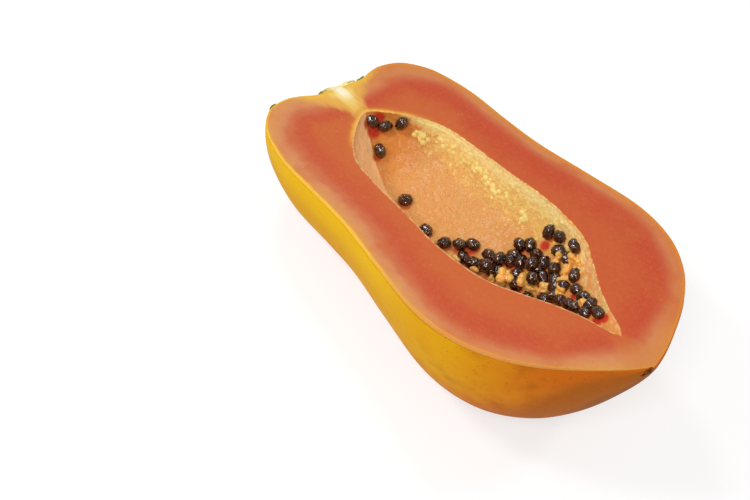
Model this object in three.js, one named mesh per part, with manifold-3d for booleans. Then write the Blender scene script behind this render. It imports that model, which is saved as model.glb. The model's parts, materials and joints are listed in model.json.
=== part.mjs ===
// Half of a ripe papaya, cut lengthwise through stem and blossom end, lying on its skin.
// Millimetres. The fruit is first drawn in its own frame: x runs from the stem end to the
// blossom end, y across the cut face, and the cut face is the plane z = 0 with the flesh
// below it. At the end it is pitched until neck and belly touch the table together.

import * as THREE from 'three';
import { mergeVertices } from 'three/addons/utils/BufferGeometryUtils.js';
import Module from 'manifold-3d';

const wasm = await Module();
wasm.setup();

// ---------------------------------------------------------------- driving dimensions

const fruit = {
  length: 203,
  // distance from the stem end, half width of the cut face
  outline: [
    [4.2, 0], [3.8, 11.5], [1.3, 18.5], [0, 25.5], [2, 34.5], [8, 41.3], [17, 46.3], [35, 50.3],
    [57, 51], [78, 52.2], [103, 56.4], [130, 60.3], [151, 57.6], [168, 49.1], [181, 37],
    [192, 21.6], [199, 9.6], [203, 0],
  ],
  rows: 46,
  sides: 60,
  neckDepthRatio: 1.0,      // depth over half width, where the neck is
  bellyDepthRatio: 1.08,
  neckEnd: 35,              // the depth ratio grows from here ...
  bellyStart: 125,          // ... to here
  furrow: 0.006,            // how deep the five long furrows are, over the radius
};

const axisBend = { bow: 0.42, sway: 0.9 };      // the fruit's axis isn't quite straight

const cavity = {
  outline: [
    [24, 0], [26, 4.3], [32, 11.4], [40, 18.6], [50, 23.8], [66, 25.9], [85, 27], [105, 28.9],
    [121, 28], [134, 25.2], [146, 18.6], [158, 11.2], [169, 5.9], [178, 2.8], [184, 0],
  ],
  rows: 30,
  sides: 40,
  depthRatio: 1.12,
  star: 0.05,               // how far the five corners of its section stand out
};

const rest = {
  pitch: 9.0,               // degrees, blossom end up
  flat: 1.1,                // thickness pressed flat where the fruit stands
};

const seed = {
  length: 6.6,
  width: 5.2,
  slices: 6,
  stacks: 3,
  sunk: 0.3,                // share of the width that is held by the flesh
  unevenness: 0.06,         // of both sizes, as a share
  shift: { x: 0.4, lean: 1 },
};

// Each strand of seeds runs along the cavity wall. A place is the distance from the stem
// end and the lean in degrees: 0 is the bottom of the cavity, 90 its rim at +y. Seeds with
// a height lie that much further in, on top of others.
const seedStrands = [
  { from: [26, 29], to: [33, 74], count: 3 },
  { from: [33.5, 8], to: [54.4, 5], count: 2 },
  { from: [72.7, -3], to: [84.5, -17], count: 2 },
  { from: [82.4, 2], to: [91.6, 20], count: 3 },
  { from: [93, 6], to: [108.8, 17], count: 5 },
  { from: [99.6, 22], to: [113.6, 35], count: 4 },
  { from: [107, 46], to: [108.3, 37], count: 2 },
  { from: [110.7, 51], to: [122, 48.5], count: 3 },
  { from: [114.2, 69], to: [120.3, 71], count: 2 },
  { from: [129.8, 77], to: [129.7, 63], count: 2 },
  { from: [123.9, 63], to: [123.9, 63], count: 1 },
  { from: [128.2, 49], to: [135.1, 36], count: 3 },
  { from: [121.7, 38], to: [126.6, 37], count: 2 },
  { from: [115.8, 25], to: [119.1, 19], count: 2 },
  { from: [138.3, 43], to: [139.9, 58], count: 2 },
  { from: [138.1, 28], to: [161.2, 27.5], count: 5 },
  { from: [146.9, 49], to: [166.7, 48], count: 4 },
  { from: [122, 7], to: [135, 23], count: 3 },
  { from: [95, -12], to: [118, 3], count: 5 },
  { from: [104, -30], to: [127, -8], count: 5 },
  { from: [133, -22], to: [152, 2], count: 4 },
  { from: [112, -46], to: [135, -38], count: 4 },
  { from: [142, -34], to: [158, -24], count: 3 },
  { from: [103.7, 14], to: [103.7, 14], count: 1, height: 4 },
  { from: [120.1, 40], to: [126.1, 31], count: 2, height: 3.5 },
];

const pulp = {
  sunk: 0.45,
  unevenness: 0.25,
  stretch: 1.25,            // lumps are longer than wide
  slices: 6,
  stacks: 4,
};
const pulpStrands = [
  { from: [113, 18], to: [121.2, 25], count: 2, height: 1.2, radius: 2.8 },
  { from: [125.2, 24], to: [131.5, 31], count: 3, height: 0.6, radius: 1.9 },
  { from: [92.2, -1], to: [108.6, 12], count: 3, height: 0.7, radius: 2 },
  { from: [126.6, 62], to: [126.8, 55], count: 2, height: 1.3, radius: 1.8 },
  { from: [133.8, 56], to: [139.9, 37], count: 3, height: 0.7, radius: 2.2 },
  { from: [134.3, 68], to: [140, 63], count: 2, height: 0.2, radius: 2.1 },
  { from: [158.2, 42], to: [158.2, 42], count: 1, height: 1.4, radius: 2.3 },
];
const bumpStrands = [
  { from: [38.4, 65], to: [53.5, 71], count: 4, radius: 2 },
  { from: [70.1, 69], to: [87.7, 65], count: 4, radius: 2 },
  { from: [99.5, 64], to: [115.9, 79], count: 2, radius: 2 },
  { from: [46, -62], to: [104, -66], count: 9, radius: 2 },
];
const bumpShift = { x: 1.2, lean: 3 };
const fineRows = 400;       // steps of an outline where points are looked up on it

const stemScar = { radius: 8.5, topRadius: 6, height: 2, shoulder: 0.9, sunk: 4, sides: 20 };
const blossomScar = { place: [201.8, -50], turn: 15, length: 6, width: 2.8, thickness: 1.2 };

// ---------------------------------------------------------------- solids and meshes

function toSolid(geometry) {
  const bare = geometry.clone();
  bare.deleteAttribute('normal');
  bare.deleteAttribute('uv');
  const merged = mergeVertices(bare, 1e-4);
  const corners = merged.index.array;
  const kept = [];
  for (let i = 0; i < corners.length; i += 3) {
    const [a, b, c] = corners.slice(i, i + 3);
    if (a !== b && b !== c && c !== a) kept.push(a, b, c);
  }
  const mesh = new wasm.Mesh({
    numProp: 3,
    vertProperties: new Float32Array(merged.attributes.position.array),
    triVerts: new Uint32Array(kept),
  });
  return new wasm.Manifold(mesh);
}

function toGeometry(solid) {
  const mesh = solid.getMesh();
  const geometry = new THREE.BufferGeometry();
  geometry.setAttribute('position', new THREE.BufferAttribute(mesh.vertProperties, 3));
  geometry.setIndex(new THREE.BufferAttribute(mesh.triVerts, 1));
  return geometry;
}

function joinAll(solids) {
  return solids.reduce((whole, part) => whole.add(part));
}

// Drops loose scraps and fills sealed hollows: both are shells apart from the largest.
function largestShell(solid) {
  return solid.decompose().reduce((best, shell) => (shell.volume() > best.volume() ? shell : best));
}

// ---------------------------------------------------------------- the fruit's form

function axisOffset(x) {
  const turn = (Math.PI * x) / fruit.length;
  return axisBend.bow * Math.sin(turn) - axisBend.sway * Math.sin(2 * turn);
}

function fruitPoint(x, radius, angle) {
  const deepening = THREE.MathUtils.smoothstep(x, fruit.neckEnd, fruit.bellyStart);
  const depth = THREE.MathUtils.lerp(fruit.neckDepthRatio, fruit.bellyDepthRatio, deepening);
  const r = radius * (1 + fruit.furrow * Math.sin(5 * angle));
  return new THREE.Vector3(x, axisOffset(x) + r * Math.cos(angle), r * depth * Math.sin(angle));
}

function cavityPoint(x, radius, angle) {
  const r = radius * (1 - cavity.star * Math.sin(5 * angle));
  return new THREE.Vector3(
    x,
    axisOffset(x) + r * Math.cos(angle),
    r * cavity.depthRatio * Math.sin(angle),
  );
}

function outlineCurve(outline) {
  return new THREE.SplineCurve(outline.map(([x, halfWidth]) => new THREE.Vector2(halfWidth, x)));
}

// Turns an outline round the fruit's axis, then moves each point to where `place` puts it.
function turned({ outline, rows, sides }, place) {
  const profile = outlineCurve(outline).getSpacedPoints(rows);
  profile.at(0).x = 0;
  profile.at(-1).x = 0;
  const geometry = new THREE.LatheGeometry(profile, sides);
  const position = geometry.attributes.position;
  for (let i = 0; i < position.count; i += 1) {
    const across = position.getZ(i);
    const down = position.getX(i);
    const point = place(position.getY(i), Math.hypot(across, down), Math.atan2(down, across));
    position.setXYZ(i, point.x, point.y, point.z);
  }
  return geometry;
}

// A level block between two heights, wider than the fruit.
function slab(low, high) {
  const width = 3 * fruit.length;
  return new THREE.BoxGeometry(width, width, high - low).translate(0, 0, (low + high) / 2);
}

// ---------------------------------------------------------------- what lies in the cavity

// Each use of draw has a kind of its own, so that no two follow each other.
const kinds = {
  seedLength: 1, seedWidth: 2, seedTurn: 135, seedShift: 10,
  lumpSize: 6, lumpTurn: 7, lumpShift: 14, bumpShift: 16,
};

// A repeatable draw between -1 and 1.
function draw(index, kind) {
  const value = Math.sin(index * 12.9898 + kind * 78.233) * 43758.5453;
  return 2 * (value - Math.floor(value)) - 1;
}

// A surface is a fine outline and the function that places its points.
const skin = { profile: outlineCurve(fruit.outline).getSpacedPoints(fineRows), place: fruitPoint };
const wall = { profile: outlineCurve(cavity.outline).getSpacedPoints(fineRows), place: cavityPoint };

function pointOn(surface, [x, lean]) {
  const last = surface.profile.findLastIndex((point) => point.y < x);
  const a = surface.profile[last];
  const b = surface.profile[last + 1];
  const halfWidth = THREE.MathUtils.mapLinear(x, a.y, b.y, a.x, b.x);
  return surface.place(x, halfWidth, THREE.MathUtils.degToRad(lean - 90));
}

// Square to the surface, pointing towards the fruit's axis.
function inward(surface, [x, lean]) {
  const alongX = pointOn(surface, [x + 1, lean]).sub(pointOn(surface, [x - 1, lean]));
  const around = pointOn(surface, [x, lean + 2]).sub(pointOn(surface, [x, lean - 2]));
  return alongX.cross(around).normalize();
}

// The places on all the strands, evenly spaced, each then moved a little.
function placesOn(strands, shift, kind) {
  const places = [];
  for (const { from, to, count, height = 0, radius } of strands) {
    for (let step = 0; step < count; step += 1) {
      const share = count > 1 ? step / (count - 1) : 0;
      const index = places.length;
      const x = THREE.MathUtils.lerp(from[0], to[0], share) + shift.x * draw(index, kind);
      const lean = THREE.MathUtils.lerp(from[1], to[1], share) + shift.lean * draw(index, kind + 1);
      places.push({ at: [x, lean], height, radius });
    }
  }
  return places;
}

function seedAt({ at, height }, index) {
  const long = (seed.length / 2) * (1 + seed.unevenness * draw(index, kinds.seedLength));
  const wide = (seed.width / 2) * (1 + seed.unevenness * draw(index, kinds.seedWidth));
  const normal = inward(wall, at);
  const centre = pointOn(wall, at).addScaledVector(normal, wide * (1 - 2 * seed.sunk) + height);
  const up = new THREE.Vector3(0, 0, 1);
  const tilt = new THREE.Quaternion().setFromUnitVectors(up, normal);
  const twist = new THREE.Quaternion().setFromAxisAngle(up, Math.PI * draw(index, kinds.seedTurn));
  const matrix = new THREE.Matrix4().compose(
    centre,
    tilt.multiply(twist),
    new THREE.Vector3(long, wide, wide),
  );
  return toSolid(new THREE.SphereGeometry(1, seed.slices, seed.stacks).applyMatrix4(matrix));
}

function lumpAt({ at, height, radius }, index) {
  const size = radius * (1 + pulp.unevenness * draw(index, kinds.lumpSize));
  const centre = pointOn(wall, at);
  centre.addScaledVector(inward(wall, at), size * (1 - 2 * pulp.sunk) + height);
  const matrix = new THREE.Matrix4().makeRotationZ(draw(index, kinds.lumpTurn));
  matrix.scale(new THREE.Vector3(pulp.stretch * size, size, size)).setPosition(centre);
  return toSolid(new THREE.SphereGeometry(1, pulp.slices, pulp.stacks).applyMatrix4(matrix));
}

// ---------------------------------------------------------------- ends of the fruit

function stemScarSolid() {
  const { radius, topRadius, height, shoulder, sunk, sides } = stemScar;
  const profile = [[0, -height], [topRadius, -height], [radius, -shoulder], [radius, sunk], [0, sunk]];
  const disc = new THREE.LatheGeometry(profile.map(([r, x]) => new THREE.Vector2(r, x)), sides);
  disc.rotateZ(-Math.PI / 2);
  disc.translate(fruit.outline[0][0], 0, 0);
  return toSolid(disc);
}

function blossomScarSolid() {
  const { place, turn, length, width, thickness } = blossomScar;
  const up = new THREE.Vector3(0, 0, 1);
  const tilt = new THREE.Quaternion().setFromUnitVectors(up, inward(skin, place));
  const twist = new THREE.Quaternion().setFromAxisAngle(up, THREE.MathUtils.degToRad(turn));
  const size = new THREE.Vector3(length / 2, width / 2, thickness);
  const matrix = new THREE.Matrix4().compose(pointOn(skin, place), tilt.multiply(twist), size);
  return toSolid(new THREE.SphereGeometry(1, 10, 6).applyMatrix4(matrix));
}

// ---------------------------------------------------------------- the whole half

function papayaHalf() {
  const body = toSolid(turned(fruit, fruitPoint));
  const ends = joinAll([body, stemScarSolid(), blossomScarSolid()]);
  const aboveCut = toSolid(slab(0, fruit.length));
  const hollow = toSolid(turned(cavity, cavityPoint));
  const shell = ends.subtract(aboveCut).subtract(hollow);

  const seeds = placesOn(seedStrands, seed.shift, kinds.seedShift).map(seedAt);
  const lumps = placesOn(pulpStrands, seed.shift, kinds.lumpShift).map(lumpAt);
  const bumps = placesOn(bumpStrands, bumpShift, kinds.bumpShift).map(lumpAt);
  return shell.add(joinAll([...seeds, ...lumps, ...bumps]).subtract(aboveCut));
}

const pitched = papayaHalf().rotate([0, -rest.pitch, 0]);
const lowest = pitched.boundingBox().min[2];
const pressed = toSolid(slab(lowest - rest.flat, lowest + rest.flat));
const standing = largestShell(pitched.subtract(pressed));

const half = toGeometry(standing);
half.computeBoundingBox();
const middle = half.boundingBox.getCenter(new THREE.Vector3());
half.translate(-middle.x, -middle.y, -half.boundingBox.min.z);
half.computeVertexNormals();

const flesh = new THREE.MeshStandardMaterial({ color: '#d0693f', roughness: 0.45, metalness: 0 });
const papaya = new THREE.Mesh(half, flesh);
papaya.name = 'papaya_half';

const group = new THREE.Group();
group.add(papaya);

export default group;
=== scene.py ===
import json
import math

import bpy
import numpy as np
from mathutils import Matrix, Quaternion, Vector

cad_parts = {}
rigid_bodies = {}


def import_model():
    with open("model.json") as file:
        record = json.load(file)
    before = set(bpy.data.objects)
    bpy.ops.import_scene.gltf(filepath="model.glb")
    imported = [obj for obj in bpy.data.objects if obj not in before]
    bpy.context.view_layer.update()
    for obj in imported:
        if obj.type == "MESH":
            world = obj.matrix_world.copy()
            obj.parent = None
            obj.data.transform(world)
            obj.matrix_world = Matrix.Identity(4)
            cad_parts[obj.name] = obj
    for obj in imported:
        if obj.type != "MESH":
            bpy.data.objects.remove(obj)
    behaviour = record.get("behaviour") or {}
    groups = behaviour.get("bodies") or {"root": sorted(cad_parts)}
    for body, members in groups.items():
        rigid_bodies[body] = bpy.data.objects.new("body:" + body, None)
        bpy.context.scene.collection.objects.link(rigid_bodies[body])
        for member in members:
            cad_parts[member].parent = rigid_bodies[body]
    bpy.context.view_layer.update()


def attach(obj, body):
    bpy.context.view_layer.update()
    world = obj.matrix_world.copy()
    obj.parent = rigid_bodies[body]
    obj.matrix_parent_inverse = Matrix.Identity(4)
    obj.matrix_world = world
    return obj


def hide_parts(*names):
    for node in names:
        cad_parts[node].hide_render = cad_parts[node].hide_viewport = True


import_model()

# The fruit is modelled in millimetres in its own frame: x from the stem end to the blossom end,
# y across the cut face, the cut face at z = 0 and the flesh below it. layDown turns it as it lies.

fruit = {
    "length": 203.0,
    "outline": [  # x and radius, from the stem notch to the blossom tip
        (4.2, 0), (3.8, 11.5), (1.3, 18.5), (0, 25.5), (2, 34.5), (8, 41.3), (17, 46.3), (35, 50.3), (57, 51),
        (78, 52.2), (103, 56.4), (130, 60.3), (151, 57.6), (168, 49.1), (181, 37), (192, 21.6), (199, 9.6),
        (203, 0),
    ],
    "notchSteps": 60,  # the smoothed outline's first steps, round the stem notch
    "neckDepth": 1.0, "bellyDepth": 1.08,  # over half the width
    "neckEnd": 35, "bellyStart": 125,
    "lobes": 5, "furrow": 0.006,  # faint furrows between five lobes
    "bow": 0.42, "sway": 0.9,  # sideways bends of its axis
    "faceGap": 0.03,  # the skin and the stem scar end this far below the face
    "pitch": 9.0, "place": (-100.5431, -1.0954, 42.957),
}
cavity = {
    "outline": [
        (24, 0), (26, 4.3), (32, 11.4), (40, 18.6), (50, 23.8), (66, 25.9), (85, 27), (105, 28.9), (121, 28),
        (134, 25.2), (146, 18.6), (158, 11.2), (169, 5.9), (178, 2.8), (184, 0),
    ],
    "depth": 1.12,  # over half the width
    "star": 0.05,  # how far its five corners stand out
}


def smoothProfile(corners, steps=400, perCorner=50):  # even steps on a smooth line through the corners
    corners = np.array(corners, float)
    t = np.linspace(0, 1, perCorner, endpoint=False)[:, None]
    spans = []
    for i in range(len(corners) - 1):
        a, b = corners[max(i - 1, 0)], corners[i]
        c, d = corners[i + 1], corners[min(i + 2, len(corners) - 1)]
        curve = 2 * b + (c - a) * t + (2 * a - 5 * b + 4 * c - d) * t ** 2 + (3 * b - a - 3 * c + d) * t ** 3
        spans.append(0.5 * curve)
    line = np.vstack(spans + [corners[-1:]])
    travelled = np.concatenate([[0], np.cumsum(np.linalg.norm(np.diff(line, axis=0), axis=1))])
    even = np.linspace(0, travelled[-1], steps + 1)
    return np.column_stack([np.interp(even, travelled, line[:, k]) for k in (0, 1)])


def insetProfile(profile, gap):  # the same profile, a gap further in
    run = np.gradient(profile, axis=0)
    run /= np.linalg.norm(run, axis=1)[:, None]
    inner = profile + gap * np.column_stack([run[:, 1], -run[:, 0]])
    inner[:, 1] = np.maximum(inner[:, 1], 0)
    inner[0, 1] = inner[-1, 1] = 0
    return inner


fruitProfile = smoothProfile(fruit["outline"])
sideProfile = fruitProfile[fruit["notchSteps"]:]  # past the notch, where x only grows
cavityProfile = smoothProfile(cavity["outline"])


def ease(low, high, value):
    share = np.clip((value - low) / (high - low), 0, 1)
    return share * share * (3 - 2 * share)


def axisOffset(x):
    turn = math.pi * x / fruit["length"]
    return fruit["bow"] * np.sin(turn) - fruit["sway"] * np.sin(2 * turn)


def ovalPoint(x, halfWidth, halfDepth, angle):
    return np.stack([x, axisOffset(x) + halfWidth * np.cos(angle), halfDepth * np.sin(angle)], axis=-1)


def fruitPoint(x, radius, angle):
    deepening = fruit["bellyDepth"] - fruit["neckDepth"]
    depth = fruit["neckDepth"] + deepening * ease(fruit["neckEnd"], fruit["bellyStart"], x)
    radius = radius * (1 + fruit["furrow"] * np.sin(fruit["lobes"] * angle))
    return ovalPoint(x, radius, radius * depth, angle)


def cavityPoint(x, radius, angle):
    radius = radius * (1 - cavity["star"] * np.sin(fruit["lobes"] * angle))
    return ovalPoint(x, radius, radius * cavity["depth"], angle)


def surfacePoint(section, profile, x, lean):  # lean 0 is the bottom, 90 the rim at +y, -90 the one at -y
    x = np.asarray(x, float)
    return section(x, np.interp(x, profile[:, 0], profile[:, 1]), np.radians(np.asarray(lean) - 90.0))


def wallPoint(x, lean):  # a place on the cavity wall
    return surfacePoint(cavityPoint, cavityProfile, x, lean)


def skinPoint(x, lean):
    return surfacePoint(fruitPoint, sideProfile, x, lean)


def inward(surface, x, lean):  # the surface's normal, on the side of the fruit's axis
    along = surface(x + 1, lean) - surface(x - 1, lean)
    around = surface(x, lean + 2) - surface(x, lean - 2)
    return Vector(np.cross(along, around)).normalized()


drawKinds = {  # each choice takes fixed numbers of its own kind
    "seedLength": 1, "seedWidth": 2, "lumpSize": 6, "lumpTurn": 7, "seedShift": 10, "lumpShift": 14,
    "bumpShift": 16, "stain": 21, "tone": 31, "seedTurn": 135,
}


def draw(index, kind):  # a fixed number from -1 to 1
    value = math.sin(index * 12.9898 + kind * 78.233) * 43758.5453
    return 2 * (value - math.floor(value)) - 1


def placesOn(strands, shift, kind):  # even steps along each strand, each place then moved a little
    places = []
    for start, end, count, *extra in strands:
        for step in range(count):
            share = step / (count - 1) if count > 1 else 0
            index = len(places)
            x = start[0] + share * (end[0] - start[0]) + shift[0] * draw(index, kind)
            lean = start[1] + share * (end[1] - start[1]) + shift[1] * draw(index, kind + 1)
            places.append((x, lean, *extra))
    return places


def pick(*pieces):  # selects only these, the first one active
    for other in bpy.context.view_layer.objects:
        other.select_set(False)
    for piece in pieces:
        piece.select_set(True)
    bpy.context.view_layer.objects.active = pieces[0]


def newPiece(name):  # names what an operator has just added or joined
    piece = bpy.context.object
    piece.name = name
    piece.data.name = name
    return piece


def linkNew(name, data):  # puts a mesh, curve, light or camera into the scene
    added = bpy.data.objects.new(name, data)
    bpy.context.scene.collection.objects.link(added)
    return added


def joined(parts, name):
    pick(*parts)
    bpy.ops.object.join()
    return newPiece(name)


def editing(on):
    bpy.ops.object.mode_set(mode='EDIT' if on else 'OBJECT')


def finishWith(piece, kind, **settings):  # adds a modifier and applies it
    pick(piece)
    modifier = piece.modifiers.new(kind.title(), kind)
    for name, value in settings.items():
        setattr(modifier, name, value)
    bpy.ops.object.modifier_apply(modifier=modifier.name)


def ruffle(piece, size, strength, detail=2, **settings):  # moves the surface by a cloud texture
    texture = bpy.data.textures.new(f"{piece.name} folds", 'CLOUDS')
    texture.noise_scale = size
    texture.noise_depth = detail
    finishWith(piece, 'DISPLACE', texture=texture, strength=strength, **settings)


def roundEdges(piece, angle, width):
    finishWith(piece, 'BEVEL', limit_method='ANGLE', angle_limit=math.radians(angle), width=width, segments=2)


def readPoints(piece, kind="co"):
    numbers = np.empty(len(piece.data.vertices) * 3, np.float32)
    piece.data.vertices.foreach_get(kind, numbers)
    return numbers.reshape(-1, 3).astype(float)


def writePoints(piece, points):
    piece.data.vertices.foreach_set("co", np.asarray(points, np.float32).ravel())
    piece.data.update()


def storeNumbers(piece, name, values):
    layer = piece.data.attributes.new(name, 'FLOAT', 'POINT')
    layer.data.foreach_set("value", np.asarray(values, np.float32))


def storePlace(piece):  # keeps the fruit's own coordinates for the materials
    layer = piece.data.attributes.new("fruitPlace", 'FLOAT_VECTOR', 'POINT')
    layer.data.foreach_set("vector", readPoints(piece).astype(np.float32).ravel())


def sinkBelowFace(piece):  # the flesh swells a hair above the skin and the stem scar
    points = readPoints(piece)
    points[:, 2] -= fruit["faceGap"]
    writePoints(piece, points)
    return points


def layDown(piece):  # from the fruit's frame to where it lies, in metres
    turn = (Matrix.Scale(0.001, 4) @ Matrix.Translation(fruit["place"])
            @ Matrix.Rotation(math.radians(-fruit["pitch"]), 4, 'Y'))
    piece.data.transform(turn)
    piece.data.update()
    points = readPoints(piece)
    points[:, 2] = np.maximum(points[:, 2], 0.0)  # the skin is pressed flat where it stands
    writePoints(piece, points)


def halfBall(name, sides, rings):  # the lower half of a ball whose poles lie along x
    bpy.ops.object.select_all(action='DESELECT')
    bpy.ops.mesh.primitive_uv_sphere_add(segments=sides, ring_count=rings, radius=1,
                                         rotation=(0, math.pi / 2, 0))
    ball = newPiece(name)
    bpy.ops.object.transform_apply(location=False, rotation=True, scale=False)
    editing(True)
    bpy.ops.mesh.select_all(action='SELECT')
    bpy.ops.mesh.bisect(plane_co=(0, 0, 0), plane_no=(0, 0, 1), clear_outer=True)
    editing(False)
    return ball


def shapeBall(ball, section, profile):  # draws the half ball out to a profile, pole to pole
    points = readPoints(ball)
    share = np.arccos(np.clip(-points[:, 0], -1, 1)) / math.pi
    angle = np.arctan2(-np.abs(points[:, 2]) - 1e-12, points[:, 1])  # the tiny part keeps the rim's sign
    steps = np.linspace(0, 1, len(profile))
    x, radius = np.interp(share, steps, profile[:, 0]), np.interp(share, steps, profile[:, 1])
    writePoints(ball, section(x, radius, angle))


def faceOutwards():
    bpy.ops.mesh.select_all(action='SELECT')
    bpy.ops.mesh.normals_make_consistent(inside=False)


def closeRims(operator, **settings):  # closes the active piece where it is open, with a mesh operator
    editing(True)
    bpy.ops.mesh.select_mode(type='EDGE')
    bpy.ops.mesh.select_all(action='DESELECT')
    bpy.ops.mesh.select_non_manifold(extend=False, use_wire=False, use_multi_face=False,
                                     use_non_contiguous=False, use_verts=False)
    operator(**settings)
    bpy.ops.mesh.select_mode(type='VERT')
    faceOutwards()
    editing(False)


def rimLines(section, profile):  # both edges in the cut plane
    sides = [np.full(len(profile), angle) for angle in (0, -math.pi)]
    return np.vstack([section(profile[:, 0], profile[:, 1], side) for side in sides])


def nearest(points, line, chunk=4000):  # distance in the cut plane to a line of points
    gaps = [np.sqrt(((points[i:i + chunk, None, :2] - line[None, :, :2]) ** 2).sum(-1)).min(1)
            for i in range(0, len(points), chunk)]
    return np.concatenate(gaps)


def shaderLevel(value):
    return value / 255 / 12.92 if value <= 10 else ((value / 255 + 0.055) / 1.055) ** 2.4


def paint(colour):  # three screen levels, 0 to 255, as the shader wants them
    if isinstance(colour, tuple) and len(colour) == 3:
        return (*[shaderLevel(value) for value in colour], 1.0)
    return colour  # wires and shader colours pass as they are


def maths(operation, first, second):
    graph = first.graph if isinstance(first, Wire) else second.graph
    return graph.add("ShaderNodeMath", {"operation": operation}, {0: first, 1: second})


class Wire:  # one output, so that shader maths reads as sums
    def __init__(self, graph, socket):
        self.graph, self.socket = graph, socket

    def __add__(self, other):
        return maths("ADD", self, other)

    def __radd__(self, other):
        return maths("ADD", other, self)

    def __sub__(self, other):
        return maths("SUBTRACT", self, other)

    def __rsub__(self, other):
        return maths("SUBTRACT", other, self)

    def __mul__(self, other):
        return maths("MULTIPLY", self, other)

    def __rmul__(self, other):
        return maths("MULTIPLY", other, self)

    def __truediv__(self, other):
        return maths("DIVIDE", self, other)

    def out(self, name):  # another output of the same node
        return Wire(self.graph, self.socket.node.outputs[name])

    def ramp(self, low, high):  # 0 at low, 1 at high, soft at both
        return self.graph.add("ShaderNodeMapRange", {"interpolation_type": "SMOOTHSTEP"},
                              {"Value": self, "From Min": low, "From Max": high})

    def fall(self, low, high):  # 1 at low, 0 at high
        return 1 - self.ramp(low, high)


def stripe(offset, reach):  # 1 where the offset is 0, fading out to both sides
    return (offset * offset).fall(0.0, reach)


def socketIn(sockets, name):  # the first one in use, of that name if there is one
    return next((socket for socket in sockets if socket.enabled and name in (None, socket.name)), None)


class Graph:
    def __init__(self, name):
        self.material = bpy.data.materials.new(name)
        self.material.use_nodes = True
        self.tree = self.material.node_tree
        self.tree.nodes.clear()

    def add(self, kind, settings=None, inputs=None, output=None):  # settings first, then the sockets
        node = self.tree.nodes.new(kind)
        for name, value in (settings or {}).items():
            if name == "stops":
                for spare in range(len(value) - 2):
                    node.color_ramp.elements.new(0.5)
                for element, (position, colour) in zip(node.color_ramp.elements, value):
                    element.position, element.color = position, colour
            else:
                setattr(node, name, value)
        for key, value in (inputs or {}).items():
            socket = node.inputs[key] if isinstance(key, int) else socketIn(node.inputs, key)
            if isinstance(value, Wire):
                self.tree.links.new(value.socket, socket)
            else:
                socket.default_value = value
        found = socketIn(node.outputs, output)
        return None if found is None else Wire(self, found)

    def number(self, name):
        return self.add("ShaderNodeAttribute", {"attribute_name": name}, {}, "Fac")

    def place(self):
        return self.add("ShaderNodeAttribute", {"attribute_name": "fruitPlace"}, {}, "Vector")

    def axes(self, vector):
        return self.add("ShaderNodeSeparateXYZ", {}, {0: vector})

    def stretch(self, vector, factors):
        return self.add("ShaderNodeVectorMath", {"operation": "MULTIPLY"}, {0: vector, 1: factors})

    def noise(self, vector, scale, detail):
        return self.add("ShaderNodeTexNoise", {}, {"Vector": vector, "Scale": scale, "Detail": detail})

    def cells(self, vector, scale):  # distance to the nearest of scattered points
        return self.add("ShaderNodeTexVoronoi", {}, {"Vector": vector, "Scale": scale}, "Distance")

    def blend(self, under, over, share):
        return self.add("ShaderNodeMix", {"data_type": "RGBA"},
                        {"Factor": share, "A": paint(under), "B": paint(over)})

    def layers(self, colour, *coats):  # each coat is a colour and how much of it shows
        for over, share in coats:
            colour = self.blend(colour, over, share)
        return colour

    def finish(self, colour, roughness, height, depth, **constants):
        bump = self.add("ShaderNodeBump", {}, {"Distance": depth, "Height": height})
        inputs = {"Base Color": colour, "Roughness": roughness, "Normal": bump}
        inputs.update({name.replace("_", " "): value for name, value in constants.items()})
        shader = self.add("ShaderNodeBsdfPrincipled", {}, inputs)
        self.add("ShaderNodeOutputMaterial", {}, {"Surface": shader})
        return self.material


view = {  # in metres, with the camera's own directions
    "place": (0.32058, -0.43227, 0.59236), "right": (0.5776, 0.7891, 0.2092), "up": (-0.6848, 0.3288, 0.6504),
    "lens": 90, "sensor": 36, "clip": (0.05, 20),
}


def placeCamera():
    data = bpy.data.cameras.new("camera")
    data.lens, data.sensor_width = view["lens"], view["sensor"]
    data.clip_start, data.clip_end = view["clip"]
    right, up = Vector(view["right"]).normalized(), Vector(view["up"])
    up = (up - up.dot(right) * right).normalized()
    camera = linkNew("camera", data)
    turn = Matrix((right, up, right.cross(up))).transposed().to_4x4()
    camera.matrix_world = Matrix.Translation(view["place"]) @ turn
    bpy.context.scene.camera = camera


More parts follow.
